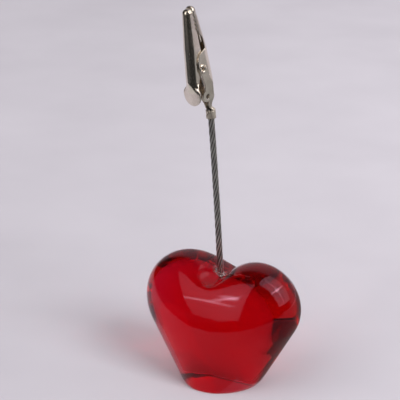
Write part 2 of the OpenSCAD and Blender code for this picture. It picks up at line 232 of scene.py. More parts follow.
def metal(name, light, dark, rough, grain, relief):
    """Plated or drawn metal with drawing lines along Z, a little tarnish and uneven gloss."""
    made, tree, shader, _ = material(name)
    shader.inputs["Metallic"].default_value = 1.0
    lines = noise(tree, object_coords(tree, (grain, grain, grain * LINE_SHARE)), 1.0, LINE_DETAIL)
    clouds = noise(tree, object_coords(tree, EVEN), TARNISH_SCALE, TARNISH_DETAIL)
    tone = ramp(tree, clouds, [(TARNISH_DARK, dark), (TARNISH_LIGHT, light)])
    tree.links.new(tone, shader.inputs["Base Color"])
    tree.links.new(ranged(tree, lines, *rough), shader.inputs["Roughness"])
    bump(tree, shader, lines, relief * MM)
    return made


def shade_grooves(made, attribute, groove_shade):
    """Darkens a metal where a mesh attribute is low: painted shade in the grooves of a rope."""
    tree = made.node_tree
    shader = tree.nodes["Principled BSDF"]
    unshaded = shader.inputs["Base Color"].links[0].from_socket
    depth = node(tree, "Attribute", attribute_name=attribute)
    mixed = node(tree, "Mix", data_type="RGBA")
    tree.links.new(depth.outputs["Fac"], mixed.inputs["Factor"])
    mixed.inputs["A"].default_value = (*groove_shade, 1.0)
    tree.links.new(unshaded, mixed.inputs["B"])
    tree.links.new(mixed.outputs["Result"], shader.inputs["Base Color"])


# Base colour: the acrylic's clear tint, partly darkened as painted shade for the shadowed table seen through
# the heart
ACRYLIC_BASE_AND_SHADE = (0.68, 0.62, 0.64)
ACRYLIC_SHEEN = (1.0, 0.7, 0.96)
ACRYLIC_TINT = (0.992, 0.66, 0.77)
ACRYLIC_DENSITY = 700.0
ACRYLIC_IOR = 1.45
WAVE_SCALE = 0.06
WAVE_DETAIL = 1.0
WAVE_RELIEF = 0.006
HANDLING_SCALE = 0.5
HANDLING_DETAIL = 4.0
HANDLING_ROUGH = 0.02


def acrylic():
    """Clear red acrylic: polished, with a trace of moulding waviness and of handling."""
    made, tree, shader, out = material("clear_red_acrylic")
    shader.inputs["Base Color"].default_value = (*ACRYLIC_BASE_AND_SHADE, 1.0)
    shader.inputs["Transmission Weight"].default_value = 1.0
    shader.inputs["IOR"].default_value = ACRYLIC_IOR
    shader.inputs["Specular Tint"].default_value = (*ACRYLIC_SHEEN, 1.0)
    waves = noise(tree, object_coords(tree, EVEN), WAVE_SCALE, WAVE_DETAIL)
    handling = noise(tree, object_coords(tree, EVEN), HANDLING_SCALE, HANDLING_DETAIL)
    tree.links.new(ranged(tree, handling, 0.0, HANDLING_ROUGH), shader.inputs["Roughness"])
    bump(tree, shader, waves, WAVE_RELIEF * MM)
    volume = node(tree, "VolumeAbsorption", Density=ACRYLIC_DENSITY)
    volume.inputs["Color"].default_value = (*ACRYLIC_TINT, 1.0)
    tree.links.new(volume.outputs["Volume"], out.inputs["Volume"])
    return made


NICKEL_LIGHT = (0.84, 0.76, 0.67)
NICKEL_DARK = (0.70, 0.62, 0.53)
STEEL_LIGHT = (0.9, 0.86, 0.84)
STEEL_DARK = (0.64, 0.61, 0.6)
SPRING_LIGHT = (0.66, 0.66, 0.67)
SPRING_DARK = (0.45, 0.45, 0.46)
# Painted shade for the grooves between the rope's strands
ROPE_GROOVE_SHADE = (0.035, 0.03, 0.03)

nickel = metal("nickel_plate", NICKEL_LIGHT, NICKEL_DARK, rough=(0.1, 0.24), grain=8.0, relief=0.003)
steel_wire = metal("rope_wire", STEEL_LIGHT, STEEL_DARK, rough=(0.24, 0.42), grain=12.0, relief=0.006)
# Painted shade in the rope's grooves, where lay_depth is low
shade_grooves(steel_wire, "lay_depth", ROPE_GROOVE_SHADE)
spring_wire = metal("spring_wire", SPRING_LIGHT, SPRING_DARK, rough=(0.16, 0.3), grain=12.0, relief=0.004)
crimped_nickel = metal("crimped_nickel", NICKEL_LIGHT, NICKEL_DARK,
                       rough=(0.45, 0.62), grain=5.0, relief=0.02)
red_acrylic = acrylic()


# Heart: the same outline and belly as the solid, with a much finer surface

HEART_W = 50.5
HEART_H = 39.3
HEART_T = 31.0
LOBE_OVERLAP = 4.0
LOBE_R = (HEART_W + LOBE_OVERLAP) / 4
LOBE_X = (HEART_W - LOBE_OVERLAP) / 4
LOBE_Z = HEART_H - LOBE_R
TIP_DROP = 5.8
TIP_R = 8.0
BELLY_Z = 16.4
FULLNESS = 2.13
CLEFT_SHARPNESS = 10.0
CLEFT_FRONT = 0.65
CLEFT_REAR = 0.5
BROW_SWELL = 1.5
FOOT_ROUND = 1.9
FOOT_CUT = 0.35
FOOT_EDGE = 0.12
FOOT_BLEND = 1.0
FLANK_STEPS = 61
LEAST_REACH = 0.01
HEART_SPOKES = 320
HEART_ROWS = 130


def flank_reach(rays, side):
    """How far rays from the belly go in one flank, which runs from its lobe to the tip."""
    t = np.linspace(0, 1, FLANK_STEPS)
    centre = np.stack([lerp(side * LOBE_X, 0, t), lerp(LOBE_Z, -TIP_DROP, t) - BELLY_Z])
    return circles_reach(rays, centre, lerp(LOBE_R, TIP_R, t))


def bridge_reach(rays):
    """How far the rays go in the brow that bridges the two lobes."""
    t = np.linspace(-1, 1, FLANK_STEPS)
    centre = np.stack([LOBE_X * t, LOBE_Z + BROW_SWELL * (1 - t * t) - BELLY_Z])
    return circles_reach(rays, centre, np.full(FLANK_STEPS, LOBE_R))


def circles_reach(rays, centre, radius):
    along = rays @ centre
    room = radius ** 2 - (centre ** 2).sum(0) + along ** 2
    reach = np.where(room > 0, along + np.sqrt(np.maximum(room, 0)), LEAST_REACH)
    return reach.max(1)


def flat_foot(z):
    """Flattens the heart to a round-edged foot; takes heights above the cut, gives them above the table."""
    edge = np.where(z < -FOOT_ROUND, 0, (z + FOOT_ROUND) ** 2 / (4 * FOOT_ROUND))
    flat = np.where(z > FOOT_ROUND, z, edge) - FOOT_CUT
    return np.where(flat > FOOT_BLEND, flat, (flat + np.sqrt(flat ** 2 + FOOT_EDGE ** 2)) / 2)


def heart_mesh(spokes, rows):
    """Rows of points from the heart's front to its rear; the cleft deepens towards the outline."""
    angles = np.radians(np.arange(spokes) * 360 / spokes)
    rays = np.stack([np.cos(angles), np.sin(angles)], axis=1)
    right = flank_reach(rays, 1)
    left = flank_reach(rays, -1)
    longer = np.maximum(right, left)
    power = CLEFT_SHARPNESS
    soft = longer * ((right / longer) ** power + (left / longer) ** power) ** (1 / power)
    cleft = np.where(rays[:, 1] < 0, longer, soft)
    full = np.maximum(longer, bridge_reach(rays))
    points = [(0, -HEART_T / 2, BELLY_Z), (0, HEART_T / 2, BELLY_Z)]
    for row in range(1, rows):
        tilt = math.radians(lerp(-90, 90, row / rows))
        share = abs(math.cos(tilt)) ** (2 / FULLNESS)
        depth = math.copysign(abs(math.sin(tilt)) ** (2 / FULLNESS), tilt) * HEART_T / 2
        start = CLEFT_FRONT if tilt < 0 else CLEFT_REAR
        reach = lerp(full, cleft, eased(held((share - start) / (1 - start))))
        x = reach * share * rays[:, 0]
        z = flat_foot(FOOT_CUT + BELLY_Z + reach * share * rays[:, 1])
        points.extend(zip(x, [depth] * spokes, z))
    faces = []
    for i in range(spokes):
        n = (i + 1) % spokes
        faces.append((0, 2 + i, 2 + n))
        last = 2 + (rows - 2) * spokes
        faces.append((1, last + n, last + i))
        for row in range(rows - 2):
            low = 2 + row * spokes
            high = low + spokes
            faces.append((low + i, high + i, high + n, low + n))
    return [tuple(c * MM for c in p) for p in points], faces


heart = new_object("heart", *heart_mesh(HEART_SPOKES, HEART_ROWS))
heart.data.materials.append(red_acrylic)
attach(heart, "stand")
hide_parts("heart_base")


# Rope: every strand is laid up from fine wires

ROPE_D = 2.0
ROPE_X = -0.9
ROPE_FREE = 49.6
ROPE_SOCKET = 5.0
ROPE_LAY = 14.6
LEAN_LOW = 3.1
LEAN_HIGH = 4.7
BARREL_LEN = 2.5
ROPE_STUB = 0.4
STRAND_GAP = 0.03
STRANDS = 6
CLEFT_Z = BELLY_Z + flank_reach(np.array([[0.0, 1.0]]), 1)[0] * 2 ** (1 / CLEFT_SHARPNESS)
WIRE_LAY = 6.2
GROOVE_R = 0.7
CROWN_R = 0.97
WIRE_STEP = 0.3
WIRE_SIDES = 6
OUTER_WIRES = 6
CENTRE_STEPS = 200


def rope_lean(s):
    return math.radians(lerp(LEAN_LOW, LEAN_HIGH, held(s / ROPE_FREE)))


def rope_way(s):
    lean = rope_lean(s)
    return np.array([-math.sin(lean), 0, math.cos(lean)])


def rope_centre(stations):
    """Centreline at rising lengths from the cleft: straight in the socket and bowed above it."""
    start = np.array([ROPE_X, 0, CLEFT_Z])
    spot = start
    last = 0.0
    out = []
    for s in stations:
        if s < 0:
            out.append(start + s * rope_way(0))
        else:
            spot = spot + (s - last) * rope_way((s + last) / 2)
            last = s
            out.append(spot)
    return out


def centre_at(s):
    return rope_centre(np.linspace(0, s, CENTRE_STEPS))[-1]


def twisted(path, stations, radius, lay, phase):
    """A helix about a path; stations are the lengths along it."""
    path = np.asarray(path)
    out = []
    for spot, way, s in zip(path, directions(path), stations):
        side = unit(np.cross([0, 1, 0], way))
        other = np.cross(way, side)
        turn = 2 * math.pi * s / lay + phase
        out.append(spot + radius * (math.cos(turn) * side + math.sin(turn) * other))
    return np.array(out)


lay_angle = math.atan(math.pi * ROPE_D * 2 / 3 / ROPE_LAY)
half_turn = math.sin(math.pi / STRANDS)
strand_d = (ROPE_D * half_turn - STRAND_GAP) / (1 / math.cos(lay_angle) + half_turn)
strand_r = (ROPE_D - strand_d) / 2
wire_d = strand_d / 3
stations = np.arange(-ROPE_SOCKET + STRAND_GAP, ROPE_FREE + BARREL_LEN + ROPE_STUB, WIRE_STEP)
centre = np.array(rope_centre(stations))


def strand_mesh(path, lay):
    """One wire along the strand's own path, with the outer wires twisted round it."""
    parts = [tube(path * MM, wire_d / 2 * MM, WIRE_SIDES)]
    for k in range(OUTER_WIRES):
        wire = twisted(path, stations, wire_d, lay, 2 * math.pi * k / OUTER_WIRES)
        parts.append(tube(wire * MM, wire_d / 2 * MM, WIRE_SIDES))
    return merged(parts)


def mark_depth(strand):
    """Notes on every point how far out it lies in the rope: 0 in the grooves, 1 on the crowns."""
    points = np.empty(3 * len(strand.data.vertices))
    strand.data.vertices.foreach_get("co", points)
    points = points.reshape(-1, 3) / MM
    ring = np.arange(len(points)) // WIRE_SIDES % len(centre)
    out = np.linalg.norm(points - centre[ring], axis=1)
    share = np.clip((out - GROOVE_R) / (CROWN_R - GROOVE_R), 0, 1)
    depth = strand.data.attributes.new("lay_depth", "FLOAT", "POINT")
    depth.data.foreach_set("value", eased(share))


def add_strand(name, path, lay):
    strand = new_object("wires_" + name, *strand_mesh(path, lay))
    mark_depth(strand)
    strand.data.materials.append(steel_wire)
    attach(strand, "stand")
    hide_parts(name)


add_strand("rope_core_strand", centre, WIRE_LAY)
for number in range(STRANDS):
    helix = twisted(centre, stations, strand_r, ROPE_LAY, 2 * math.pi * number / STRANDS)
    add_strand("rope_strand_%d" % (number + 1), helix, -WIRE_LAY)


# Glue: a clear fillet round the foot of the rope, laid on the heart's surface

GLUE_RISE = 0.8
GLUE_REACH = 1.1
GLUE_FILM = 0.01
GLUE_SIDES = 64
GLUE_STEPS = 10
GLUE_CURVE = 2.4
GLUE_TINT = (0.97, 0.9, 0.88)
GLUE_IOR = 1.46
BUBBLE_SCALE = 3.0
BUBBLE_DETAIL = 2.0
BUBBLE_ROUGH = (0.02, 0.25)
BUBBLE_RELIEF = 0.05
# Lumps of the fillet: how many round the rope, how large, and at which angle they start
GLUE_LUMPS = ((2, 0.25, 0.6), (5, 0.12, 0.0))


def glue_mesh():
    """A closed ring that lies on the heart and climbs the rope, uneven all round."""
    skin = BVHTree.FromObject(heart, bpy.context.evaluated_depsgraph_get())
    rings = []
    for i in range(GLUE_STEPS + 1):
        t = i / GLUE_STEPS
        ring = []
        for k in range(GLUE_SIDES):
            a = 2 * math.pi * k / GLUE_SIDES
            ragged = 1 + sum(size * math.sin(count * a + start) for count, size, start in GLUE_LUMPS)
            r = ROPE_D / 2 + GLUE_FILM + GLUE_REACH * ragged * t
            x = (ROPE_X + r * math.cos(a)) * MM
            y = r * math.sin(a) * MM
            hit = skin.ray_cast(Vector((x, y, HEART_H * 2 * MM)), Vector((0, 0, -1)))[0]
            ring.append((x, y, hit.z, GLUE_RISE * ragged * (1 - t) ** GLUE_CURVE))
        rings.append(ring)
    upper = [[(x, y, z + (rise + 2 * GLUE_FILM) * MM) for x, y, z, rise in ring] for ring in rings]
    lower = [[(x, y, z + GLUE_FILM * MM) for x, y, z, rise in ring] for ring in reversed(rings)]
    shells = upper + lower
    points = [p for ring in shells for p in ring]
    faces = []
    for i in range(len(shells)):
        start = i * GLUE_SIDES
        after = (i + 1) % len(shells) * GLUE_SIDES
        for k in range(GLUE_SIDES):
            n = (k + 1) % GLUE_SIDES
            faces.append((start + k, after + k, after + n, start + n))
    return points, faces


def clear_glue():
    """Clear glue with small bubbles."""
    made, tree, shader, _ = material("clear_glue")
    shader.inputs["Base Color"].default_value = (*GLUE_TINT, 1.0)
    shader.inputs["Transmission Weight"].default_value = 1.0
    shader.inputs["IOR"].default_value = GLUE_IOR
    bubbles = noise(tree, object_coords(tree, EVEN), BUBBLE_SCALE, BUBBLE_DETAIL)
    tree.links.new(ranged(tree, bubbles, *BUBBLE_ROUGH), shader.inputs["Roughness"])
    bump(tree, shader, bubbles, BUBBLE_RELIEF * MM)
    return made


bpy.context.view_layer.update()
glue = new_object("glue_fillet", *glue_mesh())
glue.data.materials.append(clear_glue())
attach(glue, "stand")
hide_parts("adhesive_sleeve")


# Clip: sheet metal drawn in its own frame, where X is the pivot, the thumb jaw is on the -Y side and
# the noses point to +Z

SHEET = 0.45
WELD = 0.002
CLIP_TURN = -16.0
CLIP_CANT = 7.0
CLIP_W = 5.2
NOSE_HALF = 1.5
JAW_REACH = 18.1
CRIMP_REACH = 18.6
TAPER_Z = 6.0
PIVOT_RISE = 0.85
PIVOT_D = 1.6
BARREL_DROP = 15.25
BARREL_BACK = 1.8
TOOTH_PITCH = 1.35
TOOTH_H = 0.45
TOOTH_COUNT = 5
TOOTH_GAP = 0.12
TEETH_Z = JAW_REACH - TOOTH_COUNT * TOOTH_PITCH
EAR_HALF = CLIP_W / 2
SIDE_PLAY = 0.06
RIVET_PLAY = 0.02
PIVOT_PLAY = 0.05
ROPE_PLAY = 0.03
THUMB_HALF = EAR_HALF - SHEET - SIDE_PLAY
SIDE_SOFT = 0.9
DEPTH_SOFT = 0.4
SOFT_STEPS = 9
ROW_SPACING = 0.4
NOSE_TURNS = np.radians(np.arange(0, 89, 8))
PAST_NOSE = 1.0
END_GAP = 0.0004
LEAST_SQUARE = 1e-6
GRID_WELD = 0.004
EDGE_ROUND = 0.05
EDGE_SEGMENTS = 2
EDGE_ANGLE = math.radians(45)
CUTTER_HALF = 5.0
HOLE_SIDES = 64

along_rope = rope_lean(ROPE_FREE)
barrel_spot = centre_at(ROPE_FREE + BARREL_LEN / 2)
clip_frame = (Matrix.Translation(Vector(barrel_spot))
              @ Matrix.Rotation(-along_rope, 4, "Y")
              @ Matrix.Rotation(math.radians(CLIP_TURN), 4, "Z")
              @ Matrix.Rotation(math.radians(CLIP_CANT), 4, "X")
              @ Matrix.Translation(Vector((0, -BARREL_BACK, BARREL_DROP))))
clip_turned = np.array(clip_frame)[:3, :3]
clip_origin = np.array(clip_frame)[:3, 3]


def in_clip(points):
    return np.asarray(points).reshape(-1, 3) @ clip_turned.T + clip_origin


def softened(z, places, values, reach):
    """Straight runs between values, with the corners rounded over a reach."""
    offsets = np.linspace(-reach, reach, SOFT_STEPS)
    return np.mean([np.interp(z + o, places, values) for o in offsets], axis=0)


def half_section(half, depth, edge, shares):
    """Half of a channel's section, from its free edge to the middle of its round back."""
    spring_line = depth - half
    wall = max(spring_line - edge, 0.0)
    lowest = math.asin(held((edge - spring_line) / half))
    total = wall + half * (math.pi / 2 - lowest)
    out = []
    for share in shares:
        s = share * total
        if s < wall:
            out.append((half, edge + s))
        else:
            a = lowest + (s - wall) / half
            out.append((half * math.cos(a), spring_line + half * math.sin(a)))
    return np.array(out)


def both_sides(half, z):
    """A row right across the channel from half a section."""
    right = np.column_stack([half, np.full(len(half), z)])
    left = right[-2::-1] * (-1, 1, 1)
    return np.vstack([right, left])


def sheet_rows(places, spacing):
    """Heights at every given place, with more between them where they lie far apart."""
    places = sorted(set(np.round(places, 4)))
    out = [places[0]]
    for a, b in zip(places, places[1:]):
        steps = max(1, math.ceil((b - a) / spacing))
        out.extend(a + (b - a) * (i + 1) / steps for i in range(steps))
    return out


def nose_places(reach):
    """Heights of the rows on a round nose, with the last one just short of its end."""
    return list(reach - NOSE_HALF + NOSE_HALF * np.sin(NOSE_TURNS)) + [reach - END_GAP]


def nose_section(z, reach, half, depth):
    """Half width and depth of a jaw at a height, closing to a round nose."""
    past = z - (reach - NOSE_HALF)
    if past <= 0:
        return half, depth
    closed = math.sqrt(max(NOSE_HALF ** 2 - past ** 2, LEAST_SQUARE))
    return closed, depth - NOSE_HALF + closed


def grid_faces(rows, columns, start):
    faces = []
    for i in range(rows - 1):
        for k in range(columns - 1):
            a = start + i * columns + k
            faces.append((a, a + 1, a + columns + 1, a + columns))
    return faces


def bored(obj, spots):
    """Cuts round holes along the pivot's direction; each spot is y, z and radius in the clip."""
    cutters = []
    for y, z, radius in spots:
        path = in_clip([(x, y, z) for x in (-CUTTER_HALF, 0.0, CUTTER_HALF)])
        cutter = new_object("cutter", *tube(path * MM, radius * MM, HOLE_SIDES))
        cut = obj.modifiers.new("hole", "BOOLEAN")
        cut.operation = "DIFFERENCE"
        cut.solver = "EXACT"
        cut.object = cutter
        cutters.append(cutter)
    return cutters


def settled(obj, cutters=()):
    """Applies an object's modifiers and removes its cutters."""
    bpy.context.view_layer.update()
    graph = bpy.context.evaluated_depsgraph_get()
    mesh = bpy.data.meshes.new_from_object(obj.evaluated_get(graph))
    obj.modifiers.clear()
    obj.data = mesh
    for cutter in cutters:
        bpy.data.objects.remove(cutter)


def cleaned(obj):
    """Welds points that lie together and drops the empty and folded faces that cutting and rounding leave."""
    work = bmesh.new()
    work.from_mesh(obj.data)
    bmesh.ops.remove_doubles(work, verts=work.verts, dist=WELD * MM)
    bmesh.ops.dissolve_degenerate(work, edges=work.edges, dist=WELD * MM)
    bmesh.ops.triangulate(work, faces=[f for f in work.faces if len(f.verts) > 4])
    bmesh.ops.dissolve_degenerate(work, edges=work.edges, dist=WELD * MM)
    alike = {}
    for face in work.faces:
        alike.setdefault(frozenset(face.verts), []).append(face)
    folded = [face for same in alike.values() if len(same) > 1 for face in same]
    bmesh.ops.delete(work, geom=folded, context="FACES")
    work.to_mesh(obj.data)
    work.free()


def sheet_metal(name, grids, holes, outward):
    """Welds grids of points in the clip's frame into one sheet with a thickness, holes and rounded edges."""
    points = []
    faces = []
    for grid in grids:
        grid = np.asarray(grid)
        faces.extend(grid_faces(grid.shape[0], grid.shape[1], len(points)))
        points.extend(in_clip(grid) * MM)
    made = new_object(name, points, faces)
    work = bmesh.new()
    work.from_mesh(made.data)
    bmesh.ops.remove_doubles(work, verts=work.verts, dist=GRID_WELD * MM)
    bmesh.ops.dissolve_degenerate(work, edges=work.edges, dist=WELD * MM)
    bmesh.ops.recalc_face_normals(work, faces=work.faces)
    work.faces.ensure_lookup_table()
    way = Vector(clip_turned @ np.array(outward))
    most = max(work.faces, key=lambda f: abs(f.normal.dot(way)))
    if most.normal.dot(way) < 0:
        bmesh.ops.reverse_faces(work, faces=work.faces)
    work.to_mesh(made.data)
    work.free()
    thick = made.modifiers.new("thickness", "SOLIDIFY")
    thick.thickness = SHEET * MM
    thick.offset = -1.0
    thick.use_even_offset = True
    settled(made, bored(made, holes))
    cleaned(made)
    soft = made.modifiers.new("edges", "BEVEL")
    soft.width = EDGE_ROUND * MM
    soft.segments = EDGE_SEGMENTS
    soft.limit_method = "ANGLE"
    soft.angle_limit = EDGE_ANGLE
    settled(made)
    cleaned(made)
    smooth = made.modifiers.new("normals", "WEIGHTED_NORMAL")
    smooth.keep_sharp = True
    settled(made)
    made.data.polygons.foreach_set("use_smooth", [True] * len(made.data.polygons))
    made.data.materials.clear()
    made.data.materials.append(nickel)
    return made


def tooth_places(shift):
    """Heights and places of the corners of a jaw's teeth, and one more past the nose."""
    z = [TEETH_Z + i * TOOTH_PITCH / 2 for i in range(2 * TOOTH_COUNT + 1)]
    y = [TOOTH_H / 2 * (1 if i % 2 == 0 else -1) + shift for i in range(2 * TOOTH_COUNT + 1)]
    return z + [CRIMP_REACH + PAST_NOSE], y + [TOOTH_H / 2 + shift]


# Crimp jaw: nose, ears, tail with two wings, neck and barrel from one blank

TAIL_REACH = 9.4
TAIL_TAPER = 4.5
TAIL_HALF = 1.95
CRIMP_PLACES = [-TAIL_REACH, -TAIL_TAPER, TAPER_Z, CRIMP_REACH - NOSE_HALF]
CRIMP_HALVES = [TAIL_HALF, EAR_HALF, EAR_HALF, NOSE_HALF]
CRIMP_DEPTHS = [3.7, 3.95, 3.37, 1.9]
TAIL_LIP = 1.0
WING_R = 1.65
WING_DROP = 8.7
WING_FRONT = 0.5
WING_BACK = 0.35
EAR_R = 4.4
EAR_RISE = 2.35
EAR_Z = 1.2
RELIEF = 1.4
EYE_DROP = 8.8
EYE_R = 0.75
WAIST_R = 1.1
WAIST_DROP = 12.7
WAIST_BACK = 1.25
BARREL_R = ROPE_D / 2 + ROPE_PLAY + SHEET
BARREL_FIRST = math.radians(-15)
SEAM_W = 0.22
SEAM_LEAN = math.radians(40)
WING_COLUMNS = 6
BACK_COLUMNS = 18
FLAP_COLUMNS = 8
WING_TURNS = np.radians(np.arange(-20, 81, 10))
WING_END = math.radians(89)
WING_ROWS = 9
WAIST_ROWS = 12
TOP_ROWS = 8
BARREL_ROWS = 9
EAR_FIRST = -100
EAR_STEPS = 30
RELIEF_RAMP = 0.6
WALL_SHARE = 0.3
SHARE_RUN = 4.0
FACING_FRONT = 0.3


def crimp_edge_places():
    """Free edge of the crimp jaw's walls as heights and places."""
    ear_y = EAR_R - EAR_RISE
    ear_last = math.degrees(math.asin((RELIEF - ear_y) / EAR_R))
    turns = np.radians(np.linspace(EAR_FIRST, ear_last, EAR_STEPS))
    tooth_z, tooth_y = tooth_places(0)
    z = [-TAIL_REACH, -WING_DROP, -TAIL_TAPER] + list(EAR_Z + EAR_R * np.cos(turns))
    y = [-WING_FRONT, -TAIL_LIP, -TAIL_LIP] + list(ear_y + EAR_R * np.sin(turns))
    z += [TEETH_Z - RELIEF_RAMP - RELIEF, TEETH_Z - RELIEF_RAMP] + tooth_z
    y += [RELIEF, TOOTH_H / 2] + tooth_y
    return z, y


crimp_edge_z, crimp_edge_y = crimp_edge_places()


def crimp_edge(z):
    edge = float(np.interp(z, crimp_edge_z, crimp_edge_y))
    room = WING_R ** 2 - (z + WING_DROP) ** 2
    return min(edge, -WING_FRONT - math.sqrt(room)) if room > 0 else edge


def crimp_shares(z, half, depth, edge):
    """Column places: the wing's share of the wall first, then the rest up to the back."""
    total = max(depth - half - edge, 0) + half * math.pi / 2
    split = lerp((WING_BACK - edge) / total, WALL_SHARE, held((z + TAIL_REACH) / SHARE_RUN))
    return np.concatenate([np.linspace(0, split, WING_COLUMNS + 1),
                           np.linspace(split, 1, BACK_COLUMNS + 1)[1:]])


def crimp_half(z):
    half = float(softened(z, CRIMP_PLACES, CRIMP_HALVES, SIDE_SOFT))
    depth = float(softened(z, CRIMP_PLACES, CRIMP_DEPTHS, SIDE_SOFT))
    half, depth = nose_section(z, CRIMP_REACH, half, depth)
    edge = crimp_edge(z)
    return half_section(half, depth, edge, crimp_shares(z, half, depth, edge))


def crimp_grids():
    """The channel, both wings, the neck and the barrel as grids of points."""
    wing_z = [-WING_DROP + WING_R * math.sin(a) for a in WING_TURNS]
    places = [z for z in crimp_edge_z if z < CRIMP_REACH] + wing_z + nose_places(CRIMP_REACH)
    rows = sheet_rows(places, ROW_SPACING)
    channel = [both_sides(crimp_half(z), z) for z in rows]
    tail = crimp_half(-TAIL_REACH)
    wings = []
    first = math.asin((TAIL_REACH - WING_DROP) / WING_R)
    wing_x = tail[0][0]
    for side in (1, -1):
        rows = []
        for a in np.linspace(first, WING_END, WING_ROWS):
            z = -WING_DROP - WING_R * math.sin(a)
            low = -WING_FRONT - WING_R * math.cos(a)
            high = min(-WING_FRONT + WING_R * math.cos(a), WING_BACK)
            rows.append([(side * wing_x, y, z) for y in np.linspace(low, high, WING_COLUMNS + 1)])
        wings.append(rows)
    return [channel] + wings + neck_grids(tail[WING_COLUMNS:])


def ring_at(turns, centre, lean, radius):
    """Points at angles round a leaning axis."""
    out = np.column_stack([radius * np.cos(turns), radius * np.sin(turns) * math.cos(lean),
                           -radius * np.sin(turns) * math.sin(lean)])
    return out + np.array(centre)


def ring_half(centre, lean, radius, first):
    """Half of an open ring, from its first angle to the back."""
    return ring_at(np.linspace(first, math.pi / 2, BACK_COLUMNS + 1), centre, lean, radius)


def neck_grids(tail):
    """The neck from the tail over the waist to the barrel, and the barrel with its leaning seam."""
    cant = math.radians(CLIP_CANT)
    axis = np.array([0, math.sin(cant), math.cos(cant)])
    middle = np.array([0, BARREL_BACK, -BARREL_DROP])
    start = np.column_stack([tail, np.full(len(tail), -TAIL_REACH)])
    cut = math.asin(-SHEET / WAIST_R)
    waist = ring_half((0, WAIST_BACK, -WAIST_DROP), 0.0, WAIST_R, cut)
    top = ring_half(middle + axis * BARREL_LEN / 2, cant, BARREL_R, BARREL_FIRST)
    neck = []
    for a, b, steps in ((start, waist, WAIST_ROWS), (waist, top, TOP_ROWS)):
        for i in range(steps):
            t = i / steps
            row = lerp(a, b, eased(t))
            row[:, 2] = lerp(a[:, 2], b[:, 2], t)
            neck.append(row)
    neck.append(top)
    neck = [np.vstack([row, row[-2::-1] * (-1, 1, 1)]) for row in neck]
    barrel = []
    for z in np.linspace(BARREL_LEN / 2, -BARREL_LEN / 2, BARREL_ROWS):
        seam = -math.pi / 2 + math.asin(z * math.tan(SEAM_LEAN) / BARREL_R)
        gap = SEAM_W / 2 / math.cos(SEAM_LEAN) / BARREL_R
        back = np.linspace(BARREL_FIRST, math.pi - BARREL_FIRST, 2 * BACK_COLUMNS + 1)
        right = np.linspace(seam + gap, BARREL_FIRST, FLAP_COLUMNS + 1)[:-1]
        left = np.linspace(math.pi - BARREL_FIRST, 2 * math.pi + seam - gap, FLAP_COLUMNS + 1)[1:]
        turns = np.concatenate([right, back, left])
        barrel.append(ring_at(turns, middle + axis * z, cant, BARREL_R))
    return [neck, barrel]


def dull_below(sheet, crimped, inside):
    """Dulls the sheet where the crimping tool has marked it, and its inner side from higher up."""
    sheet.data.materials.append(crimped_nickel)
    for face in sheet.data.polygons:
        height = (np.array(face.center) / MM - clip_origin) @ clip_turned[:, 2]
        forward = -np.array(face.normal) @ clip_turned[:, 1]
        face.material_index = int(height < -crimped or (height < -inside and forward > FACING_FRONT))


crimp = sheet_metal("crimp_jaw_sheet", crimp_grids(),
                    [(-PIVOT_RISE, 0.0, PIVOT_D / 2 + RIVET_PLAY), (0.0, -EYE_DROP, EYE_R)], (0, 1, 0))
dull_below(crimp, WAIST_DROP, TAIL_REACH - WING_R)
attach(crimp, "stand")
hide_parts("crimp_jaw")


# Thumb jaw: nose, lobes round the pivot, and the channel that opens into a flat round paddle

PADDLE_START = 3.4
PADDLE_FLAT = 6.6
PADDLE_REACH = 10.5
PADDLE_HALF = 3.3
PADDLE_DEPTH = 4.5
PADDLE_CROWN = 0.1
THUMB_PLACES = [-PADDLE_START, TAPER_Z, JAW_REACH - NOSE_HALF]
THUMB_HALVES = [THUMB_HALF, THUMB_HALF, NOSE_HALF]
THUMB_DEPTHS = [5.13, 4.02, 2.4]
PADDLE_TURNS = np.radians(np.arange(0, 88, 8))
LOBE_WALL = 0.5
LOBE_EDGE = PIVOT_D / 2 + PIVOT_PLAY + LOBE_WALL
LOBE_FROM = math.radians(205)
LOBE_SKIP = 0.88
LOBE_ARC_FROM = 2 * math.pi - LOBE_FROM - LOBE_SKIP
LOBE_TO = math.radians(50)
LOBE_STEPS = 20
LOBE_STEP_DOWN = 0.03
THUMB_COLUMNS = 24


def thumb_edge_places():
    """Free edge of the thumb jaw's walls as heights and places, with the jaw's back towards +Y."""
    low_y = LOBE_EDGE * math.sin(LOBE_FROM) - PIVOT_RISE
    low_z = LOBE_EDGE * math.cos(LOBE_FROM)
    turns = np.linspace(LOBE_ARC_FROM, LOBE_TO, LOBE_STEPS)
    tooth_z, tooth_y = tooth_places(-TOOTH_GAP)
    z = [-PADDLE_FLAT, low_z - LOBE_STEP_DOWN] + list(LOBE_EDGE * np.cos(turns)) + tooth_z
    y = [SHEET - PADDLE_DEPTH, low_y] + list(LOBE_EDGE * np.sin(turns) - PIVOT_RISE) + tooth_y
    return z, [-v for v in y]


thumb_edge_z, thumb_edge_y = thumb_edge_places()


def thumb_half(z):
    shares = np.linspace(0, 1, THUMB_COLUMNS + 1)
    if z < -PADDLE_FLAT:
        past = z + PADDLE_REACH - PADDLE_HALF
        wide = PADDLE_HALF if past > 0 else math.sqrt(max(PADDLE_HALF ** 2 - past ** 2, LEAST_SQUARE))
        return paddle_half(wide, shares)
    place = max(z, -PADDLE_START)
    half = float(softened(place, THUMB_PLACES, THUMB_HALVES, SIDE_SOFT))
    depth = float(softened(place, THUMB_PLACES, THUMB_DEPTHS, DEPTH_SOFT))
    half, depth = nose_section(z, JAW_REACH, half, depth)
    edge = float(np.interp(z, thumb_edge_z, thumb_edge_y))
    section = half_section(half, depth, edge, shares)
    opened = held((-PADDLE_START - z) / (PADDLE_FLAT - PADDLE_START))
    return lerp(section, paddle_half(PADDLE_HALF, shares), eased(opened))


def paddle_half(wide, shares):
    x = wide * (1 - shares)
    return np.column_stack([x, PADDLE_DEPTH - PADDLE_CROWN * (x / PADDLE_HALF) ** 2])


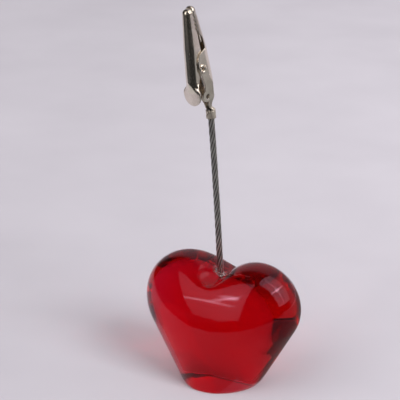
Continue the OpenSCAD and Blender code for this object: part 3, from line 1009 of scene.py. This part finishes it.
def thumb_grid():
    end_z = list(PADDLE_HALF - PADDLE_REACH - PADDLE_HALF * np.sin(PADDLE_TURNS)) + [END_GAP - PADDLE_REACH]
    places = [z for z in thumb_edge_z if z < JAW_REACH] + end_z + nose_places(JAW_REACH) + [-PADDLE_START]
    return [both_sides(thumb_half(z), z) * (1, -1, 1) for z in sheet_rows(places, ROW_SPACING)]


thumb = sheet_metal("thumb_jaw_sheet", [thumb_grid()],
                    [(-PIVOT_RISE, 0.0, PIVOT_D / 2 + PIVOT_PLAY)], (0, -1, 0))
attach(thumb, "thumb_lever")
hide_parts("thumb_jaw")


# Rivet: a domed head at the far side, and a star-flared end at the near side

HEAD_R = 1.4
HEAD_T = 0.3
GRIP_HALF = EAR_HALF + RIVET_PLAY
FLARE_R = 0.45
SLIT_R = 0.74
SLIT_NARROW = 3.0
SLIT_ROUND = 0.6
SLIT_TURN = math.pi / 4
DOME_TURNS = np.radians(np.arange(2, 91, 8))
RIVET_SIDES = 96
RIVET_SHARP = math.radians(50)
# Rings of the flared end: how far out from the ear, the radius and how deep the slits cut there
LIP = ((0.0, 1.3, 1), (0.06, HEAD_R, 1), (0.16, HEAD_R, 1), (0.26, 1.27, 1), (HEAD_T, 1.08, 0.9),
       (0.28, 0.86, 0.7), (0.2, 0.66, 0.4), (0.06, 0.52, 0.1), (-0.1, FLARE_R, 0), (-0.42, FLARE_R, 0),
       (-0.45, 0.02, 0))


def rivet_mesh():
    dome = [(-GRIP_HALF - HEAD_T * math.cos(a), HEAD_R * math.sin(a), 0) for a in DOME_TURNS]
    shank = [(-GRIP_HALF, PIVOT_D / 2, 0), (GRIP_HALF, PIVOT_D / 2, 0)]
    rings = dome + shank + [(GRIP_HALF + u, r, petal) for u, r, petal in LIP]
    points = []
    for u, r, petal in rings:
        for k in range(RIVET_SIDES):
            a = 2 * math.pi * k / RIVET_SIDES
            slit = max(0.0, 1 - abs(math.sin(2 * (a - SLIT_TURN))) * SLIT_NARROW) ** SLIT_ROUND
            reach = r - petal * slit * max(r - SLIT_R, 0)
            points.append((u, reach * math.cos(a) - PIVOT_RISE, reach * math.sin(a)))
    return in_clip(points) * MM, ring_faces(len(rings), RIVET_SIDES)


rivet = new_object("pivot_rivet_star", *rivet_mesh())
rivet.data.set_sharp_from_angle(angle=RIVET_SHARP)
rivet.data.materials.append(nickel)
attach(rivet, "stand")
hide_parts("pivot_rivet")


# Spring: a coil round the rivet, with one leg down each tail

WIRE_D = 0.45
SPRING_GAP = 0.06
COIL_TURNS = 2
LEG_DROP = 7.2
COIL_R = 1.285
COIL_X = THUMB_HALF - SHEET - WIRE_D / 2 - 2 * SPRING_GAP
COIL_STEPS = 110
CRIMP_LEG_STEPS = 12
THUMB_LEG_STEPS = 8
SPRING_SIDES = 14
SPRING_SHARP = math.radians(60)


def leg_seat(half, depth):
    """How far back a leg lies against the round back of a channel."""
    room = half - SHEET - WIRE_D / 2 - SPRING_GAP
    return depth - half + math.sqrt(room ** 2 - COIL_X ** 2)


def spring_path():
    half = float(np.interp(-LEG_DROP, CRIMP_PLACES, CRIMP_HALVES))
    depth = float(np.interp(-LEG_DROP, CRIMP_PLACES, CRIMP_DEPTHS))
    crimp_y = PIVOT_RISE + leg_seat(half, depth)
    thumb_y = PIVOT_RISE - leg_seat(THUMB_HALF, THUMB_DEPTHS[0])
    crimp_turn = math.atan2(-LEG_DROP, crimp_y) + math.acos(COIL_R / math.hypot(crimp_y, LEG_DROP))
    thumb_turn = (2 * math.pi + math.atan2(-PADDLE_START, thumb_y)
                  - math.acos(COIL_R / math.hypot(thumb_y, PADDLE_START)))
    sweep = 2 * math.pi * COIL_TURNS + thumb_turn - crimp_turn
    start = np.array([-COIL_X, crimp_y, -LEG_DROP])
    end = np.array([COIL_X, thumb_y, -PADDLE_START])
    coil = []
    for i in range(COIL_STEPS + 1):
        a = crimp_turn + sweep * i / COIL_STEPS
        coil.append((lerp(-COIL_X, COIL_X, i / COIL_STEPS), COIL_R * math.cos(a), COIL_R * math.sin(a)))
    crimp_leg = [lerp(start, np.array(coil[0]), t) for t in np.linspace(0, 1, CRIMP_LEG_STEPS)[:-1]]
    thumb_leg = [lerp(np.array(coil[-1]), end, t) for t in np.linspace(0, 1, THUMB_LEG_STEPS)[1:]]
    return np.array(crimp_leg + coil + thumb_leg) - (0, PIVOT_RISE, 0)


spring = new_object("torsion_spring", *tube(in_clip(spring_path()) * MM, WIRE_D / 2 * MM, SPRING_SIDES))
spring.data.set_sharp_from_angle(angle=SPRING_SHARP)
spring.data.materials.append(spring_wire)
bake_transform(spring)
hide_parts("clip_spring")


# Studio: the floor slopes in tone as seen from the photograph's side

AZIMUTH = math.radians(28.83)
FLOOR_HALF = 6.0
FLOOR_DARK = (0.62, 0.583, 0.635)
FLOOR_LIGHT = (0.66, 0.622, 0.675)
FLOOR_STOPS = (0.3, 0.7)
FLOOR_SCALE = 0.02
FLOOR_DETAIL = 2.0
FLOOR_ROUGH = 0.6
FLOOR_SPECULAR = 0.2
# Painted falloff of the lamps' light: axis, from where to where in metres, and the tone at both ends
FLOOR_LIGHT_FALLOFF = (("X", -0.07, 0.07, 0.93, 1.03), ("Y", -0.06, 0.25, 0.98, 1.09))


def floor_material():
    """A pale table that gets a little lighter to the right and to the rear, as painted light."""
    made, tree, shader, _ = material("pale_table")
    clouds = noise(tree, object_coords(tree, EVEN), FLOOR_SCALE, FLOOR_DETAIL)
    tone = ramp(tree, clouds, list(zip(FLOOR_STOPS, (FLOOR_DARK, FLOOR_LIGHT))))
    turned = node(tree, "Mapping")
    turned.inputs["Rotation"].default_value = (0, 0, -AZIMUTH)
    tree.links.new(node(tree, "TexCoord").outputs["Object"], turned.inputs["Vector"])
    for axis, low, high, dark, light in FLOOR_LIGHT_FALLOFF:
        slope = ranged(tree, place_along(tree, turned.outputs["Vector"], axis), dark, light, low, high)
        scaled = node(tree, "VectorMath", operation="SCALE")
        tree.links.new(tone, scaled.inputs[0])
        tree.links.new(slope, scaled.inputs["Scale"])
        tone = scaled.outputs["Vector"]
    tree.links.new(tone, shader.inputs["Base Color"])
    shader.inputs["Roughness"].default_value = FLOOR_ROUGH
    shader.inputs["Specular IOR Level"].default_value = FLOOR_SPECULAR
    return made


floor = rectangle("floor", (-FLOOR_HALF, -FLOOR_HALF), (FLOOR_HALF, FLOOR_HALF), 0)
floor.data.materials.append(floor_material())


TENT = 1.2
LAMP_FAR = 3.0
LAMP_GAIN = 4.0
BULB_COLOUR = (1.0, 0.97, 0.95)
HALF_ROOT = math.sqrt(0.5)
FRONT_WALL = (Vector((1, 0, 0)), Vector((0, HALF_ROOT, HALF_ROOT)))
RIGHT_WALL = (Vector((0, 1, 0)), Vector((-HALF_ROOT, 0, HALF_ROOT)))


def hang(obj, wall, spot):
    """Puts a lamp or a softbox's face on a slanted wall of the light tent; the spot is in tent sizes."""
    across, up = wall
    out = across.cross(up)
    obj.location = TENT * (out * HALF_ROOT + across * spot[0] + up * spot[1])
    obj.rotation_mode = "QUATERNION"
    obj.rotation_quaternion = Matrix((across, up, out)).transposed().to_quaternion()


def lamp(name, wall, spot, size, radiance):
    """The light of a softbox: larger and farther off by the same factor, so that the table is evenly lit."""
    light = bpy.data.lights.new(name, "AREA")
    light.shape = "RECTANGLE"
    light.size = size[0] * TENT * LAMP_FAR
    light.size_y = size[1] * TENT * LAMP_FAR
    light.energy = radiance * math.pi * light.size * light.size_y
    made = bpy.data.objects.new(name, light)
    bpy.context.scene.collection.objects.link(made)
    made.visible_glossy = False
    made.visible_transmission = False
    hang(made, wall, spot)
    made.location *= LAMP_FAR


def seen_by(obj, glossy, transmission):
    """Shows a stage piece to reflections, to refractions or to both, and to nothing else."""
    obj.visible_camera = False
    obj.visible_diffuse = False
    obj.visible_shadow = False
    obj.visible_glossy = glossy
    obj.visible_transmission = transmission


def glow(tree, coords, middle, spread, height, lean):
    """A leaning patch of light that fades out from its middle."""
    mapping = node(tree, "Mapping", vector_type="TEXTURE")
    mapping.inputs["Location"].default_value = (middle[0] * TENT, middle[1] * TENT, 0)
    mapping.inputs["Rotation"].default_value = (0, 0, math.radians(lean))
    mapping.inputs["Scale"].default_value = (spread[0] * TENT, spread[1] * TENT, 1)
    tree.links.new(coords, mapping.inputs["Vector"])
    fade = node(tree, "TexGradient", gradient_type="SPHERICAL")
    tree.links.new(mapping.outputs["Vector"], fade.inputs["Vector"])
    return maths(tree, "MULTIPLY", fade.outputs["Fac"], height)


def thrown(tree, level):
    """Full light where it is thrown through the heart on the table, and less where it is looked at."""
    depth = node(tree, "LightPath").outputs["Diffuse Depth"]
    return maths(tree, "MULTIPLY", level, ranged(tree, depth, 1.0, LAMP_GAIN))


def softbox_face(name, wall, spot, size, bulb, level, glows, refracted):
    """The lit face of a softbox with brighter patches round its bulb, for reflections or for refractions."""
    half_w = size[0] * TENT / 2
    half_h = size[1] * TENT / 2
    made = rectangle(name, (-half_w, -half_h), (half_w, half_h), 0)
    hang(made, wall, spot)
    face = bpy.data.materials.new(name)
    face.use_nodes = True
    face.cycles.emission_sampling = "NONE"
    tree = face.node_tree
    tree.nodes.clear()
    out = node(tree, "OutputMaterial")
    light = node(tree, "Emission", Color=(*BULB_COLOUR, 1.0))
    coords = node(tree, "TexCoord").outputs["Object"]
    total = level
    for shift, spread, height, lean in glows:
        patch = glow(tree, coords, (bulb[0] + shift[0], bulb[1] + shift[1]), spread, height, lean)
        total = maths(tree, "ADD", patch, total)
    if refracted:
        total = thrown(tree, total)
    tree.links.new(total, light.inputs["Strength"])
    tree.links.new(light.outputs[0], out.inputs["Surface"])
    made.data.materials.append(face)
    seen_by(made, not refracted, refracted)


FRONT_SPOT = (-0.245, -0.235)
FRONT_SIZE = (0.6, 1.16)
RIGHT_SPOT = (0.17, 0.06)
RIGHT_SIZE = (0.76, 0.94)
KEY_SPOT = (-0.25, -0.15)
KEY_SIZE = (0.4, 0.5)
THROWN_SPOT = (-0.08, -0.16)
THROWN_SIZE = (0.32, 1.02)
FRONT_BULB = (0.085, 0.1)
RIGHT_BULB = (-0.1, -0.035)
MIDDLE = (0.0, 0.0)
FRONT_RADIANCE = 1.5
KEY_RADIANCE = 8.4
FRONT_LEVEL = 0.4
RIGHT_LEVEL = 0.9
THROWN_LEVEL = 0.7
KEY_LEVEL = 2.2
# Patches of light: place from the bulb and spread in tent sizes, height, and lean in degrees
SOFT = (MIDDLE, (0.6, 0.9), 0.7, 0.0)
BULB = (MIDDLE, (0.1, 0.07), 6.0, 0.0)
LOW_STREAK = ((-0.21, -0.19), (0.36, 0.03), 5.0, 6.0)
SLANT_STREAK = ((-0.03, -0.05), (0.26, 0.03), 6.0, 48.0)
LEVEL_STREAK = (MIDDLE, (0.55, 0.03), 8.0, 0.0)
UPRIGHT_STREAK = (MIDDLE, (0.03, 0.6), 3.0, 0.0)
FRONT_GLOWS = (SOFT, BULB, LOW_STREAK, SLANT_STREAK)
RIGHT_GLOWS = (SOFT, BULB, LEVEL_STREAK, UPRIGHT_STREAK)
lamp("front_lamp", FRONT_WALL, FRONT_SPOT, FRONT_SIZE, FRONT_RADIANCE)
lamp("right_lamp", RIGHT_WALL, KEY_SPOT, KEY_SIZE, KEY_RADIANCE)
softbox_face("front_box", FRONT_WALL, FRONT_SPOT, FRONT_SIZE, FRONT_BULB, FRONT_LEVEL, FRONT_GLOWS, False)
softbox_face("right_box", RIGHT_WALL, RIGHT_SPOT, RIGHT_SIZE, RIGHT_BULB, RIGHT_LEVEL, RIGHT_GLOWS, False)
softbox_face("front_glow", FRONT_WALL, THROWN_SPOT, THROWN_SIZE, MIDDLE, THROWN_LEVEL, (SOFT,), True)
softbox_face("right_glow", RIGHT_WALL, KEY_SPOT, KEY_SIZE, MIDDLE, KEY_LEVEL, (SOFT,), True)


# Painted shade: dark cards on the table that reflections see, and the first one refractions too; they darken
# the table in front of the heart and round its foot
CARD_FADE = 0.2
CARD_ROUGH = 0.9
# Painted shade cards: name, two corners in metres, rise in millimetres, shade at the left and past the fade,
# seen in refractions
SHADE_CARDS = (
    ("dark_card", (-0.8, -5.9), (0.8, -0.1), 0.6, 0.02, 0.02, True),
    ("right_card", (0.8, -5.9), (4.0, -0.1), 0.6, 0.02, 0.02, False),
    ("left_card", (-4.0, -5.9), (-0.1, -0.1), 0.9, 0.06, 0.06, False),
    ("foot_shade_card", (-0.14, -0.2), (1.5, -0.0125), 0.3, 0.6, 0.2, False),
    ("side_shade_card", (0.0135, -0.0125), (1.5, 0.4), 0.3, 0.2, 0.3, False),
)


def card(name, low, high, rise, left, right, refracted):
    """A dark card on the table, painted shade for reflections, or for refractions too; its shade goes from
    left to right.
    """
    made = rectangle(name, low, high, rise * MM)
    paper, tree, shader, _ = material(name)
    across = place_along(tree, node(tree, "TexCoord").outputs["Object"], "X")
    place = ranged(tree, across, 0.0, 1.0, low[0], low[0] + CARD_FADE)
    shade = ramp(tree, place, [(0.0, (left, left, left)), (1.0, (right, right, right))])
    tree.links.new(shade, shader.inputs["Base Color"])
    shader.inputs["Roughness"].default_value = CARD_ROUGH
    shader.inputs["Specular IOR Level"].default_value = 0.0
    made.data.materials.append(paper)
    seen_by(made, True, refracted)


for row in SHADE_CARDS:
    card(*row)


# Levels for reflections and for refractions
STUDIO_LEVELS = (0.03, 0.1)
BACKDROP_LEVELS = (0.34, 0.56)
BACKDROP_FROM = 0.42
BACKDROP_TO = 0.58
STUDIO_COLOUR = (0.98, 0.94, 1.0)
FILL_COLOUR = (0.98, 0.97, 1.0)
FILL_LEVEL = 0.46
SEEN_COLOUR = (0.63, 0.605, 0.65)
FIRST_DEPTH = 0.5


def mixed_shader(tree, share, first, second):
    made = node(tree, "MixShader")
    for place, source in enumerate((share, first, second)):
        tree.links.new(source, made.inputs[place])
    return made.outputs[0]


def room():
    """Even light from all round. Reflections and refractions see a studio that is dark in front and pale
    behind, and the camera sees a plain backdrop."""
    world = bpy.data.worlds.new("room")
    bpy.context.scene.world = world
    world.use_nodes = True
    tree = world.node_tree
    tree.nodes.clear()
    out = node(tree, "OutputWorld")
    fill = node(tree, "Background", Color=(*FILL_COLOUR, 1.0), Strength=FILL_LEVEL)
    studio = node(tree, "Background", Color=(*STUDIO_COLOUR, 1.0))
    seen = node(tree, "Background", Color=(*SEEN_COLOUR, 1.0), Strength=1.0)
    path = node(tree, "LightPath")
    refracted = path.outputs["Is Transmission Ray"]
    dark = ranged(tree, refracted, *STUDIO_LEVELS)
    pale = ranged(tree, refracted, *BACKDROP_LEVELS)
    behind = place_along(tree, node(tree, "TexCoord").outputs["Generated"], "Y")
    level = ranged(tree, behind, dark, pale, BACKDROP_FROM, BACKDROP_TO)
    tree.links.new(level, studio.inputs["Strength"])
    bent = maths(tree, "MAXIMUM", path.outputs["Is Glossy Ray"], refracted)
    first = maths(tree, "LESS_THAN", path.outputs["Diffuse Depth"], FIRST_DEPTH)
    direct = maths(tree, "MULTIPLY", bent, first)
    lit = mixed_shader(tree, direct, fill.outputs[0], studio.outputs[0])
    backdrop = mixed_shader(tree, path.outputs["Is Camera Ray"], lit, seen.outputs[0])
    tree.links.new(backdrop, out.inputs["Surface"])


room()


# Camera at the photograph's place

ELEVATION = math.radians(20.46)
DISTANCE = 0.5
TARGET = Vector((-5.95, -3.82, 58.45)) * MM
back = Vector((math.sin(AZIMUTH) * math.cos(ELEVATION), -math.cos(AZIMUTH) * math.cos(ELEVATION),
               math.sin(ELEVATION)))
lens = bpy.data.cameras.new("camera")
lens.sensor_width = 36.0
lens.lens = 150.3
lens.clip_start = 0.01
lens.clip_end = 50.0
camera = bpy.data.objects.new("camera", lens)
bpy.context.scene.collection.objects.link(camera)
camera.location = TARGET + back * DISTANCE
camera.rotation_mode = "QUATERNION"
camera.rotation_quaternion = back.to_track_quat("Z", "Y")
bpy.context.scene.camera = camera
bpy.context.scene.view_settings.view_transform = "Standard"
bpy.context.scene.cycles.max_bounces = 24
bpy.context.scene.cycles.transmission_bounces = 24
bpy.context.scene.cycles.glossy_bounces = 16

bpy.context.view_layer.update()
